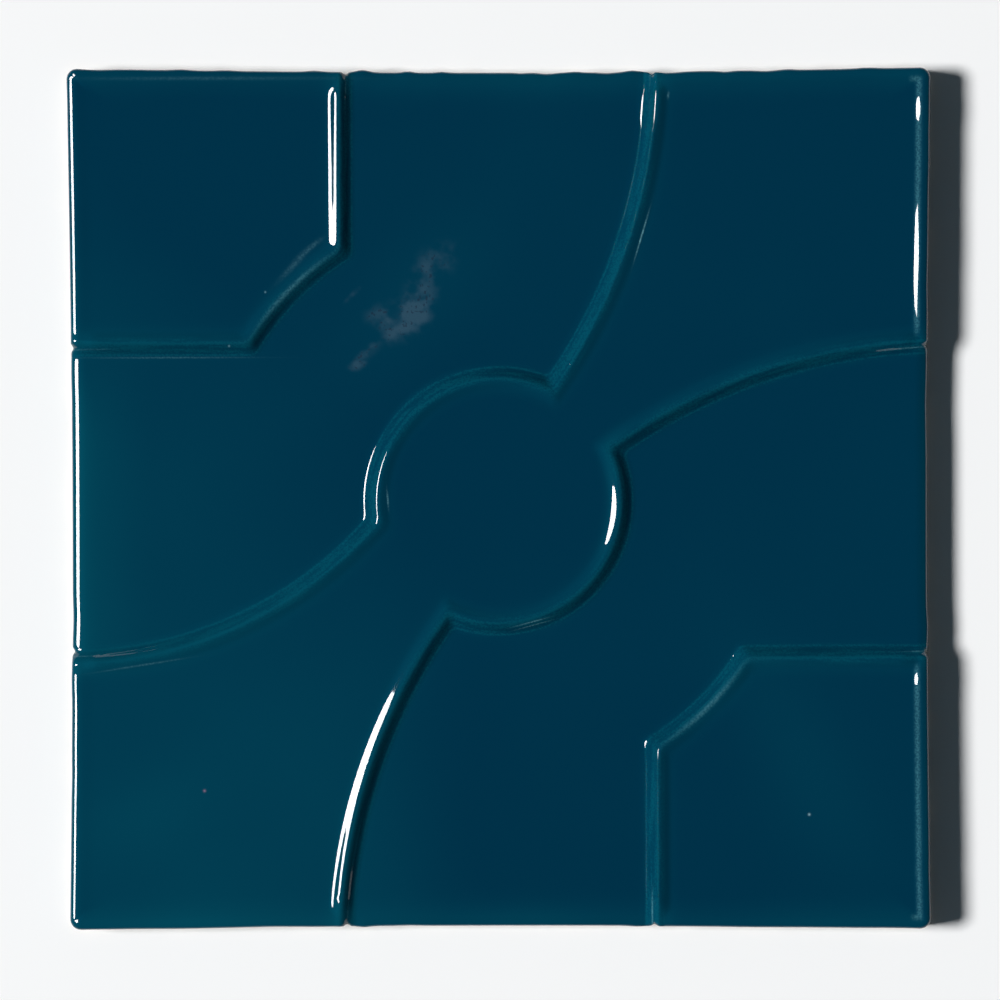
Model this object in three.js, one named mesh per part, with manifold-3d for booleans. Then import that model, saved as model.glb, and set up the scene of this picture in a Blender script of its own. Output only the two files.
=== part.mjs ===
import * as THREE from 'three';
import { mergeVertices } from 'three/addons/utils/BufferGeometryUtils.js';
import Module from 'manifold-3d';

// Glazed relief accent tile: one pressed and fired ceramic piece, lying face up.
// Millimetres, +Z up. The origin is the middle of the flat back, and +Y is the tile's top edge.
// Raised fields: the top left corner, the bottom right corner, and a band that sweeps from the
// top right corner over a round hub in the middle to the bottom left corner. The rest is low.

// Plan of the tile
const tileSide = 152.4; // measured over the corners
const sideBow = 0.6; // each side draws in this much at its middle
const cornerRadius = 2;

// Section
const tileThickness = 10; // from the back to the top of the highest lip
const reliefStep = 1.2; // the raised fields stand this much over the low ones
const rimRadius = 1; // rounding of the outer rim
const edgeRadius = 1.9; // rounding along the relief's edges
const lipHeight = 0.8; // a raised field is dished this much below its lip
const lipFlat = 0.2; // width of the lip's top
const lipRun = 2.6; // width of the slope from the lip down to the field

// Plan of the relief
const hubCentre = new THREE.Vector2(-0.1, -0.4);
const hubRadius = 22.6;

// Each corner field keeps clear of the tile's middle lines by `acrossX` and `acrossY`, and a
// round bite of radius `bite` about the tile's middle takes off its inner corner.
const topLeftField = { acrossX: 27, acrossY: 26.45, bite: 51 };
const bottomRightField = { acrossX: 26.8, acrossY: 27.05, bite: 50.8 };

// Each edge of the band starts on a side `along` from the side's middle, bows out from its chord
// by `bulge`, and meets the hub at an angle in degrees, counted from +X towards +Y.
const topEdge = { along: 26.8, hubAngle: 66.1, bulge: 4.5 };
const rightEdge = { along: 26.6, hubAngle: 22.8, bulge: 4.3 };
const bottomEdge = { along: -27.05, hubAngle: 248.1, bulge: 4.3 };
const leftEdge = { along: -27.75, hubAngle: 188.7, bulge: 6.35 };

// Nicks in the rim where the relief's edges run out
const nickDepth = 0.4;
const nickPlaces = { top: [-27, 27], right: [-27.3, 26.9], bottom: [-27, 27.2], left: [-26.8, 26.7] };

// Fineness of the curves, and how far a cutter or an uncut field runs past the tile
const rimSteps = 6;
const curveSteps = 9;
const roundSteps = 3;
const overrun = 6;

const half = tileSide / 2;
const lowTop = tileThickness - lipHeight - reliefStep;
const glaze = new THREE.MeshStandardMaterial({ color: 0x01324a, roughness: 0.08, metalness: 0 });

const manifold = await Module();
manifold.setup();

function solidOf(geometry) {
  geometry.deleteAttribute('normal');
  geometry.deleteAttribute('uv');
  const merged = mergeVertices(geometry);
  const vertProperties = new Float32Array(merged.attributes.position.array);
  const triVerts = new Uint32Array(merged.index.array);
  const mesh = new manifold.Mesh({ numProp: 3, vertProperties, triVerts });
  return new manifold.Manifold(mesh);
}

function geometryOf(solid) {
  const { numProp, vertProperties, triVerts } = solid.getMesh();
  const geometry = new THREE.BufferGeometry();
  geometry.setAttribute('position', new THREE.BufferAttribute(vertProperties, numProp));
  geometry.setIndex(new THREE.BufferAttribute(triVerts, 1));
  return geometry;
}

// A slice of a shape between two heights, whose outline draws in by `inset` over the last `rise`
// at both ends, in a quarter round of `steps` facets, or in one straight slope.
function slice(shape, bottom, top, { inset, rise, steps, curveSegments }) {
  const geometry = new THREE.ExtrudeGeometry(shape, {
    depth: top - bottom - 2 * rise,
    bevelThickness: rise,
    bevelSize: inset,
    bevelOffset: -inset,
    bevelSegments: steps,
    curveSegments,
  });
  geometry.translate(0, 0, bottom + rise);
  return solidOf(geometry);
}

// The tile's outline, moved inwards by `inset`: four slightly bowed sides and round corners.
function tileOutline(inset, radius) {
  const side = half - inset;
  const shape = new THREE.Shape();
  shape.moveTo(radius - side, -side);
  for (let turn = 0; turn < 4; turn += 1) {
    const place = (x, y) => new THREE.Vector2(x, y).rotateAround(new THREE.Vector2(), turn * Math.PI / 2);
    const bow = place(0, 2 * sideBow - side);
    const end = place(side - radius, -side);
    const corner = place(side, -side);
    const next = place(side, radius - side);
    shape.quadraticCurveTo(bow.x, bow.y, end.x, end.y);
    shape.quadraticCurveTo(corner.x, corner.y, next.x, next.y);
  }
  return shape;
}

// A corner field, drawn at the top left, with every edge moved inwards by `inset`.
function cornerOutline({ acrossX, acrossY, bite }, inset) {
  const x = acrossX + inset;
  const y = acrossY + inset;
  const radius = bite + inset;
  const outer = half + overrun;
  const top = Math.sqrt(radius ** 2 - x ** 2);
  const left = Math.sqrt(radius ** 2 - y ** 2);
  const shape = new THREE.Shape();
  shape.moveTo(-outer, outer);
  shape.lineTo(-x, outer);
  shape.lineTo(-x, top);
  shape.absarc(0, 0, radius, Math.atan2(top, -x), Math.atan2(y, -left), false);
  shape.lineTo(-outer, y);
  return shape;
}

// The circle that an edge of the band follows, from its start on a side to the hub. `turn` is 1
// where the circle's centre lies to the left of that way, and -1 where it lies to the right.
function edgeCircle(start, { hubAngle, bulge }, turn) {
  const angle = THREE.MathUtils.degToRad(hubAngle);
  const meet = new THREE.Vector2(Math.cos(angle), Math.sin(angle)).multiplyScalar(hubRadius).add(hubCentre);
  const chord = new THREE.Vector2().subVectors(meet, start);
  const radius = (chord.lengthSq() / 4 + bulge ** 2) / (2 * bulge);
  const toCentre = new THREE.Vector2(-chord.y, chord.x).setLength(turn * (radius - bulge));
  const centre = new THREE.Vector2().addVectors(start, meet).multiplyScalar(0.5).add(toCentre);
  return { centre, radius, start, meet };
}

// Where two circles cross, taking the crossing nearer to a given point.
function crossing(centreA, radiusA, centreB, radiusB, near) {
  const between = new THREE.Vector2().subVectors(centreB, centreA);
  const distance = between.length();
  const along = (distance ** 2 + radiusA ** 2 - radiusB ** 2) / (2 * distance);
  const across = Math.sqrt(Math.max(radiusA ** 2 - along ** 2, 0));
  const foot = between.clone().setLength(along).add(centreA);
  const sideways = new THREE.Vector2(-between.y, between.x).setLength(across);
  const first = foot.clone().add(sideways);
  const second = foot.clone().sub(sideways);
  return first.distanceTo(near) < second.distanceTo(near) ? first : second;
}

const angleFrom = (centre, point) => Math.atan2(point.y - centre.y, point.x - centre.x);

const bandEdges = {
  top: edgeCircle(new THREE.Vector2(topEdge.along, half), topEdge, -1),
  right: edgeCircle(new THREE.Vector2(half, rightEdge.along), rightEdge, 1),
  bottom: edgeCircle(new THREE.Vector2(bottomEdge.along, -half), bottomEdge, -1),
  left: edgeCircle(new THREE.Vector2(-half, leftEdge.along), leftEdge, 1),
};

// The band's outline with every edge moved inwards by `inset`. Each edge starts a little past
// the tile's side and ends on the hub.
function bandOutline(inset) {
  const hub = hubRadius - inset;
  const outer = half + 2 * overrun;
  const edge = (name, outwards) => {
    const { centre, radius, start: onSide, meet } = bandEdges[name];
    const onHub = crossing(centre, radius + inset, hubCentre, hub, meet);
    const start = angleFrom(centre, onSide) + outwards * overrun / radius;
    return { centre, radius: radius + inset, start, end: angleFrom(centre, onHub), onHub };
  };
  const top = edge('top', 1);
  const right = edge('right', -1);
  const bottom = edge('bottom', 1);
  const left = edge('left', -1);
  const shape = new THREE.Shape();
  const inwards = ({ centre, radius, start, end }) => {
    shape.absarc(centre.x, centre.y, radius, start, end, false);
  };
  const outwards = ({ centre, radius, start, end }) => {
    shape.absarc(centre.x, centre.y, radius, end, start, false);
  };
  const roundHub = (from, to) => {
    const start = angleFrom(hubCentre, from.onHub);
    shape.absarc(hubCentre.x, hubCentre.y, hub, start, angleFrom(hubCentre, to.onHub), true);
  };
  inwards(right);
  roundHub(right, bottom);
  outwards(bottom);
  shape.lineTo(-outer, -outer);
  inwards(left);
  roundHub(left, top);
  outwards(top);
  shape.lineTo(outer, outer);
  return shape;
}

// The uncut tile up to a height, with its rounded rim.
function blank(top) {
  return slice(tileOutline(0, cornerRadius + rimRadius / 2), -overrun, top, {
    inset: rimRadius, rise: rimRadius, steps: roundSteps, curveSegments: rimSteps,
  });
}

// What is scooped out of the raised fields inside the rim, to leave the lip along it.
function rimDish() {
  const outline = tileOutline(rimRadius + lipFlat, cornerRadius + lipRun);
  return slice(outline, tileThickness - lipHeight, tileThickness + overrun, {
    inset: lipRun, rise: lipHeight, steps: 1, curveSegments: rimSteps,
  });
}

// A raised field of the given outline, with its rounded edge and its dished top. The outline
// runs half way up the rounded edge.
function raisedField(outline) {
  const body = slice(outline(-edgeRadius / 2), -overrun, tileThickness, {
    inset: edgeRadius, rise: edgeRadius, steps: roundSteps, curveSegments: curveSteps,
  });
  const dish = slice(outline(edgeRadius / 2 + lipFlat), tileThickness - lipHeight, tileThickness + overrun, {
    inset: lipRun, rise: lipHeight, steps: 1, curveSegments: curveSteps,
  });
  return blank(tileThickness).intersect(body).subtract(rimDish().intersect(dish));
}

// A nick across the rim: an upright square bar, set cornerwise on the tile's side.
function nick(x, y) {
  const geometry = new THREE.CylinderGeometry(nickDepth, nickDepth, tileThickness + 2 * overrun, 4);
  geometry.rotateX(Math.PI / 2);
  geometry.translate(x, y, tileThickness / 2);
  return solidOf(geometry);
}

function nicks() {
  const reach = (along) => half - sideBow * (1 - (along / half) ** 2);
  return [
    ...nickPlaces.top.map((along) => nick(along, reach(along))),
    ...nickPlaces.right.map((along) => nick(reach(along), along)),
    ...nickPlaces.bottom.map((along) => nick(along, -reach(along))),
    ...nickPlaces.left.map((along) => nick(-reach(along), along)),
  ];
}

function tileSolid() {
  const topLeft = raisedField((inset) => cornerOutline(topLeftField, inset));
  const bottomRight = raisedField((inset) => cornerOutline(bottomRightField, inset)).rotate([0, 0, 180]);
  const band = raisedField(bandOutline);
  const floor = new THREE.BoxGeometry(2 * tileSide, 2 * tileSide, 2 * overrun);
  floor.translate(0, 0, -overrun);
  let tile = blank(lowTop);
  for (const field of [topLeft, bottomRight, band]) {
    tile = tile.add(field);
  }
  for (const bar of nicks()) {
    tile = tile.subtract(bar);
  }
  return tile.subtract(solidOf(floor));
}

const accentTile = new THREE.Mesh(geometryOf(tileSolid()), glaze);
accentTile.name = 'accent_tile';

const part = new THREE.Group();
part.add(accentTile);

export default part;
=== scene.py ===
"""The looks of a square relief accent tile: one fired piece under a deep teal gloss glaze.

The whole tile is one closed mesh. Its plan is worked out from the outlines of the raised fields
and of the rim, and a Geometry Nodes tree lifts that plan to the real section. Sizes here are in
millimetres, and the finished mesh is in metres.
"""

import math

import bpy
import numpy as np
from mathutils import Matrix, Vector
from mathutils.geometry import delaunay_2d_cdt
from mathutils.kdtree import KDTree


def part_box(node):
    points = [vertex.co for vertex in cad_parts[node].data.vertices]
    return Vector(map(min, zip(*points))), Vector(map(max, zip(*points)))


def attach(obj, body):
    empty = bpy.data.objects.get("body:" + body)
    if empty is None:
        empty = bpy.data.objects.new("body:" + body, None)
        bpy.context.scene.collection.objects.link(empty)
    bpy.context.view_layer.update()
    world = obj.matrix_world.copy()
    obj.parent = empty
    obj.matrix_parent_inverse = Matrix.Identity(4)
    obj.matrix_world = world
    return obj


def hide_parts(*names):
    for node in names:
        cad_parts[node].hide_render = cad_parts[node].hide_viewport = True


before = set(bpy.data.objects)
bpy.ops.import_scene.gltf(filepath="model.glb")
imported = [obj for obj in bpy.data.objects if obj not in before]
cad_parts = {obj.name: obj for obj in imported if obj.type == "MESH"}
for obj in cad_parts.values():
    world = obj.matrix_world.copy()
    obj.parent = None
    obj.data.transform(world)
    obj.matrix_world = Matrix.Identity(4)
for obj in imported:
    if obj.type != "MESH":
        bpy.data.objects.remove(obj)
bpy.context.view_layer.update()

MM = 0.001
HIGH_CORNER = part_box("accent_tile")[1]
HALF = HIGH_CORNER.x / MM
THICKNESS = HIGH_CORNER.z / MM

# Plan of the outline
CORNER_RADIUS = 2.0
NICK_DEPTH = 0.4
NICK_WIDTH = 0.5
SIDES = (  # bottom, right, top and left: draw-in, lean, bow, places of the two nicks
    (0.20, 0.065, 0.62, (-27.0, 27.2)),
    (0.11, 0.12, 0.63, (-27.3, 26.9)),
    (0.20, -0.055, 0.81, (-27.0, 27.0)),
    (0.12, 0.18, 0.7, (-26.8, 26.7)),
)
SWELLS = (  # glaze runs on the same four sides: place, height, width
    (
        (-56, 0.08, 6), (-40, -0.09, 5), (-24, 0.2, 1.4), (-16, -0.08, 2), (24, 0.14, 1.4), (45, 0.06, 6),
        (70, -0.07, 5),
    ),
    ((-23, 0.19, 2.6), (-66, -0.06, 2), (16, -0.12, 5), (38, -0.08, 3), (59, 0.06, 3)),
    (
        (-71, -0.17, 3), (-56, 0.16, 1.8), (-48, 0.1, 1.8), (-32.5, 0.18, 1.8), (-24, 0.44, 1.7),
        (-16, 0.23, 1.2), (-10, 0.17, 1.2), (4, -0.1, 1.2), (8.5, -0.22, 1.6), (13.5, 0.15, 1.4),
        (19, -0.15, 1.6), (23.6, 0.3, 1.6), (30, -0.24, 2.6), (40, -0.18, 1.2), (47, -0.14, 1.8),
        (51, 0.12, 1.4), (65, 0.15, 2.4),
    ),
    ((-32, 0.1, 2.6), (-21, -0.12, 3), (-49, -0.05, 3), (22, 0.06, 3), (70, -0.03, 3)),
)

# Plan of the relief
HUB_CENTRE = Vector((-0.1, -0.4))
HUB_RADIUS = 22.6
CORNER_FIELDS = (  # turn, clear of the middle lines across x and y, radius of the round bite
    (1, 27.0, 26.45, 51.0),
    (-1, 26.8, 27.05, 50.8),
)
BAND_EDGES = (  # start on a side, angle on the hub, bulge, side of the arc's centre
    ((26.8, HALF), 66.1, 4.5, -1),
    ((HALF, 26.6), 22.8, 4.3, 1),
    ((-27.05, -HALF), 248.1, 4.3, -1),
    ((-HALF, -27.75), 188.7, 6.35, 1),
)
PLAIN_HUB_CORNERS = 3  # the band's first three corners on the hub get no rounding of their own
SOFT_RIM_PLACE, SOFT_RIM_WIDTH = 6.5, 3.0  # the soft stretch of a wall beside the rim
SOFT_HUB_REACH = 4.0  # how far the hub's softness runs past its edge
SOFT_CORNER_WIDTH = 2.2
BITE_START, BITE_FADE, BITE_WIDTH = 38.0, 8.0, 10.0  # where a bite is, from the tile's middle
EDGE_SOFTNESS = 1.0  # how widely two edges of a field melt into each other where they meet

# Section, each size an input of the tree that makes it
SECTION = {
    "Thickness": THICKNESS,
    "Relief step": 1.2,
    "Wall run": 1.95,
    "Wall rounding, sharp": 0.2,  # as a share of the wall's run
    "Wall rounding, soft": 0.9,
    "Lip height": 0.8,
    "Lip run": 2.8,
    "Lip crest": 0.85,  # from the middle of a relief wall to the top of its lip
    "Lip share at hub": 0.83,
    "Lip share at sides": 1.1,
    "Hub share reach": 30.0,  # from the tile's middle
    "Side share reach": 75.0,
    "Lip share lost on the bites": 0.45,
    "Rim crest at left": 1.65,  # from the tile's side to where the rim starts to fall
    "Rim crest at right": 1.3,
    "Rim lip run at left": 2.6,
    "Rim lip run at right": 1.7,
    "Low rim widening": 0.8,
    "Rim fall": 0.48,
    "Low rim fall": 0.66,
    "Rim edge": 0.4,
    "Hand variation": 0.06,
    "Variation size": 14.0,
    "Seed": 3.0,
}
RIM_LIPS = (  # bottom, right, top and left: share of the lip's height along the rim, and where it is higher
    (0.3, ((-50, 0.1, 8),)),
    (0.36, ((68.5, 0.3, 2.7), (41.6, 0.32, 11.7), (-32.3, 0.26, 1.9), (-62, 0.06, 9))),
    (0.4, ((-50, 0.1, 8),)),
    (0.12, ((50, 0.08, 10),)),
)
BACK_EDGE = 0.5

# Colours of the glaze and the clay
DEEP_GLAZE = (0.0002, 0.0318, 0.0655, 1)
PALE_GLAZE_AND_GLOW = (0.001, 0.061, 0.098, 1)
MILKY_GLAZE_AND_SHEEN = (0.034, 0.082, 0.125, 1)
DARK_SPECK = (0.01, 0.02, 0.04, 1)
PALE_THREAD = (0.11, 0.3, 0.36, 1)
WORN_GLAZE = (0.4, 0.4, 0.34, 1)
RUSTY_LINE = (0.075, 0.035, 0.02, 1)
DARK_CLAY = (0.52, 0.42, 0.3, 1)
PALE_CLAY = (0.66, 0.57, 0.43, 1)

# Small marks in the glaze, some of them painted sheen and glints
THREADS = (  # place on the face, half length, half width, angle, strength
    (25.2, 46.4, 3.2, 0.12, 73.3, 1.0),
    (5.5, -21.8, 2.4, 0.1, 15.0, 0.6),
    (6.0, -22.3, 2.6, 0.08, 15.0, 0.4),
    (-19.7, 0.0, 1.3, 0.12, 95.0, 0.7),
    (29.9, 71.0, 0.5, 0.16, 85.0, 0.4),
    (-57.8, 25.0, 12.0, 0.13, 0.0, 0.16),
    (-63.0, -29.2, 6.0, 0.14, 8.9, 0.2),
    (-51.0, 74.2, 18.0, 0.3, 0.0, 0.1),
    (-36.2, 41.2, 3.2, 0.45, 46.0, 0.12),
    (-33.4, 44.2, 2.4, 0.4, 38.0, 0.14),
)
BLOOM_AND_SHEEN = (  # the same for the parts of the bloom above the hub: milky glaze with a painted hazy reflection over it
    (-15.3, 32.8, 4.4, 3.0, 55.0, 1.2),
    (-21.1, 32.1, 3.0, 2.4, 0.0, 0.5),
    (-11.4, 41.4, 5.0, 3.2, 45.0, 0.6),
    (-22.7, 25.7, 4.8, 1.2, 40.7, 0.95),
    (-25.4, 36.3, 2.6, 0.7, 42.0, 0.6),
)
PINHOLES_AND_GLINTS = (  # place on the face, half width, colour of the small mark: a pinhole, painted with the pale glint it catches
    (-52.1, -51.4, 0.22, (0.2, 0.13, 0.2, 1)),
    (54.5, -55.8, 0.2, (0.2, 0.36, 0.42, 1)),
    (-41.2, 36.5, 0.16, (0.08, 0.2, 0.26, 1)),
    (-47.6, 27.0, 0.16, (0.1, 0.24, 0.3, 1)),
)

# Fineness of the plan
RING_DEPTHS = (
    0, 0.04, 0.1, 0.18, 0.28, 0.4, 0.55, 0.75, 0.95, 1.15, 1.4, 1.7, 2.0, 2.35, 2.7, 3.1, 3.5, 4.0, 4.6,
)
ROW_OFFSETS = np.concatenate([
    np.arange(-3.4, -1.9, 0.35), np.arange(-1.8, 1.85, 0.15), np.arange(2.1, 4.8, 0.3),
])
ALONG_STEP = 0.8
HUB_STEP = 0.5
PATCH_STEP = 0.3
PATCH_REACH = 3.2
FILL_STEP = 2.5
FAN_REACH = 6.0
FAN_RAYS = 30
SIDE_SHARES = (0.8, 0.55, 0.3, 0.14)


def smooth_min(a, b, softness):
    blend = np.maximum(softness - np.abs(a - b), 0.0) / softness
    return np.minimum(a, b) - blend**2 * softness / 4


def smooth_max(a, b, softness):
    return -smooth_min(-a, -b, softness)


def band_circle(start, hub_angle, bulge, side):
    """Centre, radius and hub end of the arc that runs from the start on a side to the hub."""
    angle = math.radians(hub_angle)
    start = Vector(start)
    meet = HUB_CENTRE + Vector((math.cos(angle), math.sin(angle))) * HUB_RADIUS
    chord = meet - start
    radius = (chord.length_squared / 4 + bulge**2) / (2 * bulge)
    across = Vector((-chord.y, chord.x)).normalized()
    return (start + meet) / 2 + across * side * (radius - bulge), radius, meet


BAND_CIRCLES = [band_circle(*edge) for edge in BAND_EDGES]


def field_edge(points):
    """How far each point lies inside a raised field, below zero on the low fields."""
    x, y = points.T
    from_middle = np.hypot(x, y)
    fields = []
    for turn, across_x, across_y, bite in CORNER_FIELDS:
        legs = smooth_min(-across_x - turn * x, turn * y - across_y, EDGE_SOFTNESS)
        fields.append(smooth_min(legs, from_middle - bite, EDGE_SOFTNESS))
    outside = [np.hypot(x - centre.x, y - centre.y) - radius for centre, radius, _ in BAND_CIRCLES]
    top, right, bottom, left = outside
    upper_arm = np.minimum(smooth_min(top, right, EDGE_SOFTNESS), x + y)
    lower_arm = np.minimum(smooth_min(bottom, left, EDGE_SOFTNESS), -x - y)
    hub = HUB_RADIUS - np.hypot(x - HUB_CENTRE.x, y - HUB_CENTRE.y)
    fields.append(smooth_max(hub, np.maximum(upper_arm, lower_arm), EDGE_SOFTNESS))
    return np.max(fields, axis=0)


def side_reach(along, side):
    """How far a side lies from the tile's middle, at each place along it."""
    draw_in, lean, bow, nicks = SIDES[side]
    reach = HALF - draw_in + lean * along / HALF - bow * (1 - (along / HALF) ** 2)
    for place in nicks:
        reach = reach - NICK_DEPTH * np.exp(-(((along - place) / NICK_WIDTH) ** 2))
    for place, height, width in SWELLS[side]:
        reach = reach + height * np.exp(-(((along - place) / width) ** 2))
    return reach


def rim_lip(points):
    """The share of its full height that a raised field's lip has along the nearest side."""
    x, y = points.T
    shares = []
    for (plain, swells), along in zip(RIM_LIPS, (x, y, x, y)):
        share = np.full(len(points), plain)
        for place, more, width in swells:
            share = share + more * np.exp(-(((along - place) / width) ** 2))
        shares.append(share)
    side = np.argmax([-y, x, y, -x], axis=0)
    return np.choose(side, shares)


def rim_edge(points):
    """How far each point lies inside the tile's outline."""
    x, y = points.T
    reach_x = np.where(x > 0, side_reach(y, 1), side_reach(y, 3))
    reach_y = np.where(y > 0, side_reach(x, 2), side_reach(x, 0))
    corner_x = CORNER_RADIUS - (reach_x - np.abs(x))
    corner_y = CORNER_RADIUS - (reach_y - np.abs(y))
    rounded = np.hypot(np.maximum(corner_x, 0), np.maximum(corner_y, 0))
    return CORNER_RADIUS - rounded - np.minimum(np.maximum(corner_x, corner_y), 0)


def wall_softness(points):
    """How rounded a relief wall is, from 0 to 1.

    A wall that faces left is sharp, but rounded near the upper rim, the hub and most corners.
    """
    x, y = points.T
    near_rim = np.exp(-(((rim_edge(points) - SOFT_RIM_PLACE) / SOFT_RIM_WIDTH) ** 4)) * (y > 0)
    from_hub = np.hypot(x - HUB_CENTRE.x, y - HUB_CENTRE.y)
    near_hub = np.exp(-((from_hub / (HUB_RADIUS + SOFT_HUB_REACH)) ** 12))
    softness = np.maximum(near_rim, near_hub)
    for corner in edge_corners()[PLAIN_HUB_CORNERS:]:
        away = np.hypot(x - corner[0], y - corner[1]) / SOFT_CORNER_WIDTH
        softness = np.maximum(softness, np.exp(-(away**2)))
    step = np.array([0.1, 0.0])
    faces_left = np.clip((field_edge(points + step) - field_edge(points - step)) / 0.1, 0, 1)
    return softness * faces_left + 0.5 * (1 - faces_left)


def on_bite(points):
    """How near each point lies to the middle of a corner field's round bite, from 0 to 1."""
    x, y = np.abs(points.T)
    outside_hub = np.clip((np.hypot(x, y) - BITE_START) / BITE_FADE, 0, 1)
    return outside_hub * np.exp(-(((x - y) / BITE_WIDTH) ** 2))


def turned(points, quarters):
    angle = quarters * math.pi / 2
    turn = np.array([[math.cos(angle), math.sin(angle)], [-math.sin(angle), math.cos(angle)]])
    return points @ turn


def side_places(side):
    """Places along a side for the rings' points, closer together across the two nicks."""
    limit = HALF - FAN_REACH
    plain = np.linspace(-limit, limit, round(2 * limit / ALONG_STEP))
    low_nick, high_nick = SIDES[side][3]
    across = np.concatenate([low_nick - ROW_OFFSETS, high_nick + ROW_OFFSETS])
    clear = np.min(np.abs(plain[:, None] - across[None, :]), axis=1) > ALONG_STEP / 2
    return np.sort(np.concatenate([plain[clear], across]))


def fan(quarter, depth):
    """The ring's points round a corner, found along rays from a pivot inside it."""
    angles = np.radians(np.linspace(-90, 0, FAN_RAYS + 1)[1:-1])
    rays = turned(np.column_stack([np.cos(angles), np.sin(angles)]), quarter)
    pivot = turned(np.array([[HALF - FAN_REACH, FAN_REACH - HALF]]), quarter)
    near = np.zeros(len(rays))
    far = np.full(len(rays), 2 * FAN_REACH)
    for _ in range(30):
        middle = (near + far) / 2
        inside = rim_edge(pivot + rays * middle[:, None]) > depth
        near = np.where(inside, middle, near)
        far = np.where(inside, far, middle)
    return pivot + rays * near[:, None]


def ring(depth):
    """One loop of points at a depth inside the outline, counterclockwise from the bottom left."""
    loop = []
    for quarter in range(4):
        way = 1 if quarter < 2 else -1
        along = np.sort(way * side_places(quarter))
        reach = side_reach(way * along, quarter) - depth
        loop.append(turned(np.column_stack([along, -reach]), quarter))
        loop.append(fan(quarter, depth))
    return np.concatenate(loop)


def arc_rows(centre, radius, grows, step):
    """Points on circles about a centre, one circle for each distance from a field's edge."""
    angles = np.arange(0, 2 * math.pi, step / radius)
    for offset in ROW_OFFSETS:
        reach = radius + grows * offset
        x, y = reach * np.cos(angles), reach * np.sin(angles)
        yield offset, np.column_stack([centre[0] + x, centre[1] + y])


def line_rows(turn, across_x, across_y):
    """Points along the two straight legs of a corner field."""
    along = np.arange(min(across_x, across_y), HALF, ALONG_STEP)
    ones = np.ones(len(along))
    for offset in ROW_OFFSETS:
        yield offset, turn * np.column_stack([-(across_x + offset) * ones, along])
        yield offset, turn * np.column_stack([-along, (across_y + offset) * ones])


def edge_rows():
    """Every row point that really lies at its row's distance from the edge of a field."""
    families = [arc_rows(HUB_CENTRE, HUB_RADIUS, -1, HUB_STEP)]
    families += [arc_rows(centre, radius, 1, ALONG_STEP) for centre, radius, _ in BAND_CIRCLES]
    for turn, across_x, across_y, bite in CORNER_FIELDS:
        families += [line_rows(turn, across_x, across_y), arc_rows((0, 0), bite, 1, ALONG_STEP)]
    rows = []
    for family in families:
        for offset, points in family:
            points = points[np.max(np.abs(points), axis=1) < HALF]
            points = points[rim_edge(points) > RING_DEPTHS[-1] + ALONG_STEP / 2]
            rows.append(points[np.abs(field_edge(points) - offset) < 0.03])
    return np.concatenate(rows)


def edge_corners():
    """Where two edges of a field meet."""
    corners = [tuple(meet) for _, _, meet in BAND_CIRCLES]
    for turn, across_x, across_y, bite in CORNER_FIELDS:
        corners.append((-turn * across_x, turn * math.sqrt(bite**2 - across_x**2)))
        corners.append((-turn * math.sqrt(bite**2 - across_y**2), turn * across_y))
    return corners


def square_grid(centre, reach, step):
    places = np.arange(-reach, reach + step / 2, step)
    x, y = np.meshgrid(places + centre[0], places + centre[1])
    return np.column_stack([x.ravel(), y.ravel()])


def clear_of(points, others, distance):
    """The points that lie further than a distance from all the others."""
    tree = KDTree(len(others))
    for index, (x, y) in enumerate(others):
        tree.insert((x, y, 0), index)
    tree.balance()
    keep = [tree.find((x, y, 0))[2] > distance for x, y in points]
    return points[np.array(keep)]


def plan_points():
    outline = ring(0)
    rings = [ring(depth) for depth in RING_DEPTHS[1:]]
    fine = np.concatenate(rings + [edge_rows()])
    patches = np.concatenate([square_grid(corner, PATCH_REACH, PATCH_STEP) for corner in edge_corners()])
    fine = np.concatenate([fine, clear_of(patches, fine, PATCH_STEP / 2)])
    loose = square_grid((0, 0), HALF, FILL_STEP)
    loose = loose[rim_edge(loose) > RING_DEPTHS[-1] + FILL_STEP / 3]
    loose = clear_of(loose, fine, FILL_STEP / 3)
    return outline, np.concatenate([outline, fine, loose])


def triangulate(points, outline_count):
    """Triangles between the points, inside the loop that its first points make."""
    loop = list(range(outline_count))
    found = delaunay_2d_cdt([Vector(point) for point in points.tolist()], [], [loop], 1, 1e-7)
    places, _, faces, sources = found[:4]
    first = {source[0]: index for index, source in enumerate(sources) if source}
    return np.array([tuple(place) for place in places]), faces, [first[index] for index in loop]


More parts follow.
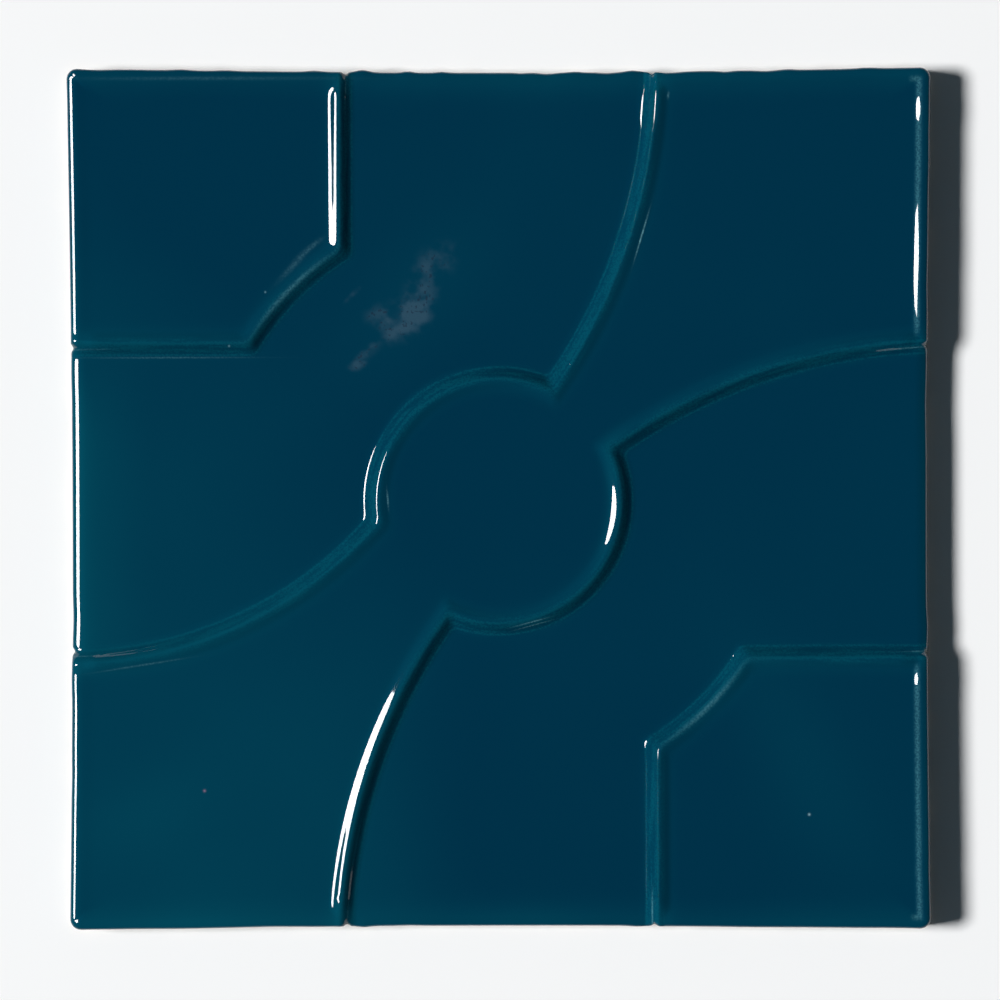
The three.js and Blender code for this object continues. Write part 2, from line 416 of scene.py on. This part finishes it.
def plan_mesh():
    """The closed tile with its face still flat, and what the section needs to know at each vertex."""
    outline, points = plan_points()
    face_points, face_triangles, loop = triangulate(points, len(outline))
    count = len(outline)
    back_outline = outline * (1 - BACK_EDGE / HALF)
    back_fill = square_grid((0, 0), HALF, 4 * FILL_STEP)
    back_fill = back_fill[rim_edge(back_fill) > 2 * FILL_STEP]
    back_points, back_triangles, back_loop = triangulate(np.concatenate([back_outline, back_fill]), count)
    plan = np.concatenate([face_points] + [outline] * len(SIDE_SHARES) + [back_points])
    share = np.concatenate(
        [np.ones(len(face_points))]
        + [np.full(count, side_share) for side_share in SIDE_SHARES]
        + [np.zeros(len(back_points))]
    )
    faces = [tuple(face) for face in face_triangles]
    loops = [loop]
    for level in range(len(SIDE_SHARES)):
        start = len(face_points) + level * count
        loops.append(list(range(start, start + count)))
    back_start = len(face_points) + len(SIDE_SHARES) * count
    loops.append([back_start + index for index in back_loop])
    for upper, lower in zip(loops, loops[1:]):
        for here in range(count):
            after = (here + 1) % count
            faces.append((upper[here], lower[here], lower[after], upper[after]))
    faces += [tuple(back_start + index for index in reversed(face)) for face in back_triangles]
    mesh = bpy.data.meshes.new("tile")
    mesh.from_pydata(np.column_stack([plan * MM, np.zeros(len(plan))]).tolist(), [], faces)
    values = {
        "field_edge": field_edge(plan),
        "rim_edge": np.maximum(rim_edge(plan), 0),
        "rim_lip": rim_lip(plan),
        "wall_softness": wall_softness(plan),
        "on_bite": on_bite(plan),
        "side_share": share,
    }
    for name, value in values.items():
        mesh.attributes.new(name, "FLOAT", "POINT").data.foreach_set("value", value.astype(np.float32))
    return mesh


def new_node(tree, kind, **settings):
    node = tree.nodes.new(kind)
    for name, value in settings.items():
        setattr(node, name, value)
    return node


def feed(tree, socket, value):
    if isinstance(value, bpy.types.NodeSocket):
        tree.links.new(value, socket)
    else:
        socket.default_value = value


def calc(tree, operation, *values):
    node = new_node(tree, "ShaderNodeMath", operation=operation)
    for socket, value in zip(node.inputs, values):
        feed(tree, socket, value)
    return node.outputs[0]


def eased(tree, value, low, high, start=0.0, end=1.0, ease="SMOOTHSTEP"):
    """A value that goes from start to end while the input goes from low to high."""
    node = new_node(tree, "ShaderNodeMapRange", interpolation_type=ease)
    for socket, given in zip(node.inputs, (value, low, high, start, end)):
        feed(tree, socket, given)
    return node.outputs[0]


def section_tree():
    """Lifts the flat plan to the section: fields, walls, lips and rim."""
    tree = bpy.data.node_groups.new("Tile section", "GeometryNodeTree")
    tree.is_modifier = True
    tree.interface.new_socket("Geometry", in_out="INPUT", socket_type="NodeSocketGeometry")
    tree.interface.new_socket("Geometry", in_out="OUTPUT", socket_type="NodeSocketGeometry")
    for name in SECTION:
        tree.interface.new_socket(name, in_out="INPUT", socket_type="NodeSocketFloat")
    tree.interface.new_socket("Glaze", in_out="INPUT", socket_type="NodeSocketMaterial")
    size = new_node(tree, "NodeGroupInput").outputs

    def attribute(name):
        node = new_node(tree, "GeometryNodeInputNamedAttribute", data_type="FLOAT")
        node.inputs["Name"].default_value = name
        return node.outputs["Attribute"]

    field, rim, share = attribute("field_edge"), attribute("rim_edge"), attribute("side_share")
    softness = attribute("wall_softness")
    sharp, soft = size["Wall rounding, sharp"], size["Wall rounding, soft"]
    rounding = eased(tree, softness, 0.0, 1.0, sharp, soft, ease="LINEAR")
    slope = calc(tree, "ADD", calc(tree, "DIVIDE", field, size["Wall run"]), 0.5)
    below_top = calc(tree, "SMOOTH_MIN", slope, 1.0, rounding)
    raised = calc(tree, "SMOOTH_MAX", below_top, 0.0, rounding)
    position = new_node(tree, "GeometryNodeInputPosition").outputs[0]
    parts = new_node(tree, "ShaderNodeSeparateXYZ")
    feed(tree, parts.inputs[0], position)
    from_middle = new_node(tree, "ShaderNodeVectorMath", operation="LENGTH")
    feed(tree, from_middle.inputs[0], position)

    def from_left(left, right):
        return eased(tree, parts.outputs["X"], -HALF * MM, HALF * MM, left, right, ease="LINEAR")

    lowered = calc(tree, "SUBTRACT", 1.0, raised)
    rim_crest = from_left(size["Rim crest at left"], size["Rim crest at right"])
    rim_crest = calc(tree, "MULTIPLY_ADD", lowered, size["Low rim widening"], rim_crest)
    rim_share = calc(tree, "MULTIPLY", attribute("rim_lip"), raised)
    rim_run = from_left(size["Rim lip run at left"], size["Rim lip run at right"])
    rim_lip = eased(tree, calc(tree, "SUBTRACT", rim, rim_crest), 0.0, rim_run, rim_share, 0.0)
    past_wall = calc(tree, "SUBTRACT", field, size["Lip crest"])
    reach = from_middle.outputs["Value"]
    at_hub, at_sides = size["Lip share at hub"], size["Lip share at sides"]
    reach_mm = calc(tree, "DIVIDE", reach, MM)
    near, far = size["Hub share reach"], size["Side share reach"]
    wall_share = eased(tree, reach_mm, near, far, at_hub, at_sides, ease="LINEAR")
    wall_share = calc(tree, "MULTIPLY", wall_share, eased(tree, rim, 1.5, 4.5, 0.5, 1.0))
    lost = calc(tree, "MULTIPLY", attribute("on_bite"), size["Lip share lost on the bites"])
    wall_share = calc(tree, "SUBTRACT", wall_share, lost)
    wall_lip = calc(tree, "MULTIPLY", raised, eased(tree, past_wall, 0.0, size["Lip run"], wall_share, 0.0))
    lip = calc(tree, "SMOOTH_MAX", wall_lip, rim_lip, 0.2)

    noise = new_node(tree, "ShaderNodeTexNoise", noise_dimensions="4D")
    in_cells = new_node(tree, "ShaderNodeVectorMath", operation="SCALE")
    feed(tree, in_cells.inputs[0], position)
    feed(tree, in_cells.inputs["Scale"], calc(tree, "DIVIDE", 1 / MM, size["Variation size"]))
    feed(tree, noise.inputs["Vector"], in_cells.outputs[0])
    feed(tree, noise.inputs["W"], size["Seed"])
    noise.inputs["Scale"].default_value = 1.0
    noise.inputs["Detail"].default_value = 1.0
    loss = calc(tree, "MULTIPLY", noise.outputs[0], size["Hand variation"])
    lip_height = calc(tree, "MULTIPLY", size["Lip height"], calc(tree, "SUBTRACT", 1.0, loss))

    highest_lip = calc(tree, "MULTIPLY", size["Lip height"], size["Lip share at sides"])
    raised_level = calc(tree, "SUBTRACT", size["Thickness"], highest_lip)
    low_level = calc(tree, "SUBTRACT", raised_level, size["Relief step"])
    level = calc(tree, "MULTIPLY_ADD", raised, size["Relief step"], low_level)
    height = calc(tree, "MULTIPLY_ADD", lip, lip_height, level)
    outside = calc(tree, "SUBTRACT", 1.0, calc(tree, "MINIMUM", calc(tree, "DIVIDE", rim, rim_crest), 1.0))
    rim_fall = eased(tree, lowered, 0.0, 1.0, size["Rim fall"], size["Low rim fall"], ease="LINEAR")
    fall = calc(tree, "MULTIPLY", rim_fall, calc(tree, "MULTIPLY", outside, outside))
    edge_left = calc(tree, "MAXIMUM", calc(tree, "SUBTRACT", size["Rim edge"], rim), 0.0)
    edge_square = calc(tree, "MULTIPLY", size["Rim edge"], size["Rim edge"])
    edge_left_square = calc(tree, "MULTIPLY", edge_left, edge_left)
    edge_rise = calc(tree, "SQRT", calc(tree, "SUBTRACT", edge_square, edge_left_square))
    edge = calc(tree, "SUBTRACT", size["Rim edge"], edge_rise)
    height = calc(tree, "SUBTRACT", height, calc(tree, "ADD", fall, edge))
    lift = new_node(tree, "ShaderNodeCombineXYZ")
    feed(tree, lift.inputs["Z"], calc(tree, "MULTIPLY", calc(tree, "MULTIPLY", height, share), MM))

    place = new_node(tree, "GeometryNodeSetPosition")
    smooth = new_node(tree, "GeometryNodeSetShadeSmooth")
    finish = new_node(tree, "GeometryNodeSetMaterial")
    realize = new_node(tree, "GeometryNodeRealizeInstances")
    result = new_node(tree, "NodeGroupOutput")
    feed(tree, place.inputs["Geometry"], size["Geometry"])
    feed(tree, place.inputs["Offset"], lift.outputs[0])
    feed(tree, smooth.inputs["Geometry"], place.outputs[0])
    feed(tree, realize.inputs[0], smooth.outputs[0])
    feed(tree, finish.inputs["Geometry"], realize.outputs[0])
    feed(tree, finish.inputs["Material"], size["Glaze"])
    feed(tree, result.inputs[0], finish.outputs[0])
    return tree


def lifted(mesh, glaze):
    """The flat plan taken through the section tree and turned into a plain mesh."""
    plan = bpy.data.objects.new("tile_plan", mesh)
    bpy.context.scene.collection.objects.link(plan)
    tree = section_tree()
    modifier = plan.modifiers.new("Section", "NODES")
    modifier.node_group = tree
    sockets = {item.name: item.identifier for item in tree.interface.items_tree if item.in_out == "INPUT"}
    for name, value in SECTION.items():
        modifier[sockets[name]] = float(value)
    modifier[sockets["Glaze"]] = glaze
    view = bpy.context.evaluated_depsgraph_get()
    shaped = plan.evaluated_get(view)
    result = bpy.data.meshes.new_from_object(shaped, preserve_all_data_layers=True, depsgraph=view)
    bpy.data.objects.remove(plan)
    tile = bpy.data.objects.new("glazed_tile", result)
    bpy.context.scene.collection.objects.link(tile)
    return tile


def principled(name, **values):
    material = bpy.data.materials.new(name)
    material.use_nodes = True
    shader = material.node_tree.nodes["Principled BSDF"]
    for key, value in values.items():
        shader.inputs[key.replace("_", " ")].default_value = value
    return material, material.node_tree, shader


def glaze_material():
    """Deep teal gloss glaze, paler where it runs thinner and where glow and sheen are painted, over a cream
    clay low on the sides.
    """
    material, tree, shader = principled("deep_teal_glaze", IOR=1.5)
    place = new_node(tree, "ShaderNodeTexCoord").outputs["Object"]
    parts = new_node(tree, "ShaderNodeSeparateXYZ")
    feed(tree, parts.inputs[0], place)
    x = calc(tree, "DIVIDE", parts.outputs["X"], MM)
    y = calc(tree, "DIVIDE", parts.outputs["Y"], MM)
    z = calc(tree, "DIVIDE", parts.outputs["Z"], MM)

    def attribute(name):
        return new_node(tree, "ShaderNodeAttribute", attribute_name=name).outputs["Fac"]

    field, rim = attribute("field_edge"), attribute("rim_edge")

    def hump(value, centre, width):
        away = calc(tree, "DIVIDE", calc(tree, "SUBTRACT", value, centre), width)
        return calc(tree, "EXPONENT", calc(tree, "MULTIPLY", calc(tree, "MULTIPLY", away, away), -1.0))

    def noise(scale, detail=1.0, vector=place):
        node = new_node(tree, "ShaderNodeTexNoise")
        feed(tree, node.inputs["Vector"], vector)
        node.inputs["Scale"].default_value = scale
        node.inputs["Detail"].default_value = detail
        return node.outputs[0]

    def spot(across, up, width, depth, angle):
        """One at a place on the face, falling to nothing over an ellipse round it."""
        turn = math.radians(angle)
        dx, dy = calc(tree, "SUBTRACT", x, across), calc(tree, "SUBTRACT", y, up)
        cos, sin = math.cos(turn), math.sin(turn)
        along = calc(tree, "ADD", calc(tree, "MULTIPLY", dx, cos), calc(tree, "MULTIPLY", dy, sin))
        aside = calc(tree, "SUBTRACT", calc(tree, "MULTIPLY", dy, cos), calc(tree, "MULTIPLY", dx, sin))
        return calc(tree, "MULTIPLY", hump(along, 0.0, width), hump(aside, 0.0, depth))

    def mixed(factor, first, second):
        node = new_node(tree, "ShaderNodeMix", data_type="RGBA")
        feed(tree, node.inputs["Factor"], factor)
        feed(tree, node.inputs["A"], first)
        feed(tree, node.inputs["B"], second)
        return node.outputs["Result"]

    # How pale the glaze is: thinner on walls and along the rim, paler towards the lower left, and painted
    # glow round the lips' highlights
    threads = new_node(tree, "ShaderNodeCombineXYZ")
    feed(tree, threads.inputs["X"], calc(tree, "MULTIPLY", x, 0.12))
    feed(tree, threads.inputs["Y"], calc(tree, "MULTIPLY", y, 0.12))
    feed(tree, threads.inputs["Z"], calc(tree, "MULTIPLY", field, 1.6))
    streaks = eased(tree, noise(1.0, 2.0, threads.outputs[0]), 0.35, 0.68)
    grain = eased(tree, noise(1400.0, 2.0), 0.4, 0.75)
    drift = eased(tree, noise(22.0), 0.3, 0.75)
    fine_grain = eased(tree, noise(3000.0), 0.35, 0.68)
    walls = calc(tree, "MULTIPLY", hump(field, 0.45, 1.35), calc(tree, "MULTIPLY_ADD", streaks, 0.9, 0.25))
    walls = calc(tree, "MULTIPLY", walls, calc(tree, "MULTIPLY_ADD", fine_grain, 1.1, 0.4))
    lines = calc(tree, "ADD", hump(field, 1.0, 0.2), hump(field, -1.0, 0.2))
    walls = calc(tree, "MULTIPLY_ADD", lines, calc(tree, "MULTIPLY_ADD", fine_grain, 0.7, 0.25), walls)
    crest = calc(tree, "MULTIPLY", hump(field, 1.2, 0.4), attribute("on_bite"))
    # Painted sheen: a pale line where the right rim's lip highlight runs on dimly
    right_rim_sheen = calc(tree, "MULTIPLY", hump(rim, 2.0, 0.45), eased(tree, x, 72.0, 73.5))
    right_rim_sheen = calc(tree, "MULTIPLY", right_rim_sheen, eased(tree, field, 1.5, 4.0))
    crest = calc(tree, "ADD", crest, right_rim_sheen)
    walls = calc(tree, "MULTIPLY_ADD", crest, calc(tree, "MULTIPLY_ADD", fine_grain, 1.2, 0.3), walls)
    # Painted glow round the lips' highlights, strongest beside the hub's right side
    hub_glow_weight = calc(tree, "MULTIPLY_ADD", spot(20.0, 0.0, 3.0, 15.0, 0.0), 0.35, 0.2)
    lips = calc(tree, "MULTIPLY", hump(field, 2.3, 1.6), hub_glow_weight)
    more_up = calc(tree, "SUBTRACT", calc(tree, "ABSOLUTE", y), calc(tree, "ABSOLUTE", x))
    far_up = eased(tree, more_up, -3.0, 3.0)
    left = calc(tree, "MULTIPLY", eased(tree, x, -60.0, -75.0), eased(tree, y, 28.0, 8.0))
    left = calc(tree, "MULTIPLY", left, eased(tree, y, -33.0, -24.0))
    rim_reach = calc(tree, "MULTIPLY_ADD", left, 2.2, eased(tree, far_up, 0.0, 1.0, 1.1, 3.6))
    rims = hump(calc(tree, "DIVIDE", rim, rim_reach), 0.0, 1.0)
    rims = calc(tree, "MULTIPLY", rims, calc(tree, "MULTIPLY_ADD", drift, 0.3, 0.34))
    diagonal = calc(tree, "ADD", x, y)
    lower_left = eased(tree, diagonal, -10.0, -85.0, 0.0, 0.52, ease="LINEAR")
    lower_left = calc(tree, "MULTIPLY", lower_left, eased(tree, x, 0.0, -26.0))
    wide = calc(tree, "ADD", lower_left, calc(tree, "MULTIPLY", left, 0.42))
    wide = calc(tree, "ADD", wide, calc(tree, "MULTIPLY", spot(53.0, -45.5, 26.0, 8.0, -60.0), 0.18))
    wide = calc(tree, "ADD", wide, calc(tree, "MULTIPLY", spot(-62.0, -55.0, 14.0, 7.0, 25.0), 0.24))
    # The long spot above the hub is painted sheen along the bloom
    wide = calc(tree, "ADD", wide, calc(tree, "MULTIPLY", spot(-14.0, 37.0, 20.0, 9.0, 50.0), 0.24))
    wide = calc(tree, "MULTIPLY", wide, calc(tree, "MULTIPLY_ADD", drift, 0.3, 0.82))
    paleness = calc(tree, "ADD", calc(tree, "ADD", walls, lips), calc(tree, "ADD", rims, wide))
    paleness = calc(tree, "ADD", paleness, calc(tree, "MULTIPLY", calc(tree, "SUBTRACT", drift, 0.5), 0.1))
    colour = mixed(paleness, DEEP_GLAZE, PALE_GLAZE_AND_GLOW)

    # A bloom above the hub: milky, rougher glaze with a painted hazy reflection over it, and dark specks in
    # it
    bloom_and_sheen = 0.0
    for across, up, length, width, angle, strength in BLOOM_AND_SHEEN:
        bloom_and_sheen = calc(tree, "MULTIPLY_ADD", spot(across, up, length, width, angle), strength, bloom_and_sheen)
    wisps = eased(tree, noise(260.0, 3.0), 0.34, 0.66)
    bloom_and_sheen = eased(tree, calc(tree, "MULTIPLY", bloom_and_sheen, calc(tree, "MULTIPLY_ADD", wisps, 1.1, 0.4)), 0.12, 1.1)
    specks = eased(tree, noise(1700.0), 0.6, 0.66)
    specks = calc(tree, "MULTIPLY", specks, eased(tree, bloom_and_sheen, 0.1, 0.4))
    colour = mixed(calc(tree, "MULTIPLY", bloom_and_sheen, 0.7), colour, MILKY_GLAZE_AND_SHEEN)
    colour = mixed(calc(tree, "MULTIPLY", specks, 0.55), colour, DARK_SPECK)

    # Pale threads beside the walls and at their ends on the rim, and pinholes painted with their glints
    ends = calc(tree, "MULTIPLY", hump(field, 0.0, 0.13), eased(tree, rim, 9.0, 2.0))
    pale = calc(tree, "MULTIPLY", ends, calc(tree, "MULTIPLY", streaks, 0.32))
    for across, up, length, width, angle, strength in THREADS:
        pale = calc(tree, "MULTIPLY_ADD", spot(across, up, length, width, angle), strength, pale)
    pale = calc(tree, "MULTIPLY_ADD", crest, 0.2, pale)
    pale = calc(tree, "MULTIPLY", pale, calc(tree, "MULTIPLY_ADD", fine_grain, 0.9, 0.5))
    colour = mixed(pale, colour, PALE_THREAD)
    for across, up, width, shade in PINHOLES_AND_GLINTS:
        colour = mixed(spot(across, up, width, width, 0.0), colour, shade)

    # Worn glaze at the rim's nicks, and bare clay low on the sides and on the back
    worn = None
    for side, (_, _, _, nicks) in enumerate(SIDES):
        along = x if side in (0, 2) else y
        for nick in nicks:
            here = hump(along, nick, 0.45)
            worn = here if worn is None else calc(tree, "ADD", worn, here)
    worn = calc(tree, "MULTIPLY", worn, hump(rim, 0.0, 0.35))
    worn = calc(tree, "MULTIPLY", worn, eased(tree, z, 6.0, 7.5))
    worn = calc(tree, "MULTIPLY", worn, grain)
    clay_line = calc(tree, "ADD", 0.5, calc(tree, "MULTIPLY", noise(120.0), 1.4))
    bare = eased(tree, calc(tree, "SUBTRACT", z, clay_line), 0.25, -0.25)
    clay_grain = eased(tree, noise(700.0, 2.0), 0.3, 0.7)
    clay = mixed(clay_grain, DARK_CLAY, PALE_CLAY)
    rusty = eased(tree, hump(calc(tree, "SUBTRACT", z, clay_line), 0.35, 0.35), 0.3, 1.0)
    colour = mixed(calc(tree, "MULTIPLY", rusty, 0.6), colour, RUSTY_LINE)
    colour = mixed(calc(tree, "MULTIPLY", worn, 0.7), colour, WORN_GLAZE)
    colour = mixed(bare, colour, clay)
    feed(tree, shader.inputs["Base Color"], colour)

    # Sheen of the glass, roughness of the clay. The gloss is turned down on the sharp walls that face
    # left and on the sides, as a stand-in for their true section, which shows no highlight.
    milky = calc(tree, "MULTIPLY", bloom_and_sheen, 0.12)
    roughness = calc(tree, "ADD", 0.03, milky)
    roughness = calc(tree, "ADD", roughness, calc(tree, "MULTIPLY", calc(tree, "MAXIMUM", bare, worn), 0.7))
    feed(tree, shader.inputs["Roughness"], roughness)
    on_wall = calc(tree, "MULTIPLY", eased(tree, field, -2.4, -1.9), eased(tree, field, 2.4, 1.9))
    dull = calc(tree, "MULTIPLY", on_wall, eased(tree, attribute("wall_softness"), 0.4, 0.1))
    dry = eased(tree, attribute("side_share"), 0.99, 0.8)
    dull = calc(tree, "MAXIMUM", dull, calc(tree, "MULTIPLY", dry, 0.8))
    feed(tree, shader.inputs["Specular IOR Level"], calc(tree, "MULTIPLY_ADD", dull, -0.49, 0.5))
    height = calc(tree, "MULTIPLY", noise(260.0), 0.006)
    height = calc(tree, "ADD", height, calc(tree, "MULTIPLY", calc(tree, "MULTIPLY", clay_grain, bare), 0.08))
    bump = new_node(tree, "ShaderNodeBump")
    bump.inputs["Distance"].default_value = MM
    feed(tree, bump.inputs["Height"], height)
    feed(tree, shader.inputs["Normal"], bump.outputs[0])
    return material


def floor_piece():
    pale = (0.9, 0.9, 0.9, 1)
    material, _, _ = principled("pale_floor", Base_Color=pale, Roughness=0.9, Specular_IOR_Level=0.0)
    mesh = bpy.data.meshes.new("floor")
    reach = 3.0
    corners = [(-reach, -reach, 0), (reach, -reach, 0), (reach, reach, 0), (-reach, reach, 0)]
    mesh.from_pydata(corners, [], [(0, 1, 2, 3)])
    floor = bpy.data.objects.new("floor", mesh)
    mesh.materials.append(material)
    bpy.context.scene.collection.objects.link(floor)


# Studio
LIGHT_DISTANCE = 10.0
KEY_AZIMUTH, KEY_ELEVATION = 180.5, 51.0
KEY_WIDTH, KEY_DEPTH = 23.0, 13.5  # seen from the tile, in degrees
KEY_POWER = 1255.0
SHEEN_AZIMUTH = 172.4
SHEEN_WIDTH = 32.4
SHEEN_POWER = 700.0
FRAME_WIDTH = 0.1762
CAMERA_HEIGHT = 1.5
CAMERA_SHIFT = (0.0001, -0.00024)
CAMERA_ROLL = -0.00218


def panel(name, azimuth, elevation, width, depth, power):
    """A soft oval lamp that faces the tile, with its angular size as the tile sees it."""
    flat = math.cos(math.radians(elevation))
    direction = Vector((
        flat * math.cos(math.radians(azimuth)),
        flat * math.sin(math.radians(azimuth)),
        math.sin(math.radians(elevation)),
    ))
    lamp = bpy.data.lights.new(name, "AREA")
    lamp.shape = "ELLIPSE"
    lamp.size = 2 * LIGHT_DISTANCE * flat * math.tan(math.radians(width / 2))
    lamp.size_y = 2 * LIGHT_DISTANCE * math.tan(math.radians(depth / 2))
    lamp.energy = power
    piece = bpy.data.objects.new(name, lamp)
    piece.location = direction * LIGHT_DISTANCE
    piece.rotation_euler = direction.to_track_quat("Z", "Y").to_euler()
    bpy.context.scene.collection.objects.link(piece)
    return piece


def studio():
    key = panel("key", KEY_AZIMUTH, KEY_ELEVATION, KEY_WIDTH, KEY_DEPTH, KEY_POWER)
    key.visible_glossy = False
    sheen = panel("sheen", SHEEN_AZIMUTH, KEY_ELEVATION, SHEEN_WIDTH, KEY_DEPTH, SHEEN_POWER)
    sheen.visible_diffuse = False
    world = bpy.data.worlds.new("studio")
    world.use_nodes = True
    world.node_tree.nodes["Background"].inputs["Color"].default_value = (0.038, 0.05, 0.058, 1)
    world.cycles_visibility.glossy = False
    bpy.context.scene.world = world
    bpy.context.scene.view_settings.view_transform = "Standard"


def camera():
    lens = bpy.data.cameras.new("camera")
    lens.sensor_width = 36.0
    lens.lens = lens.sensor_width * CAMERA_HEIGHT / FRAME_WIDTH
    piece = bpy.data.objects.new("camera", lens)
    piece.location = (*CAMERA_SHIFT, CAMERA_HEIGHT + HIGH_CORNER.z)
    piece.rotation_euler = (0, 0, CAMERA_ROLL)
    bpy.context.scene.collection.objects.link(piece)
    bpy.context.scene.camera = piece


tile = lifted(plan_mesh(), glaze_material())
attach(tile, "root")
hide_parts("accent_tile")
floor_piece()
studio()
camera()
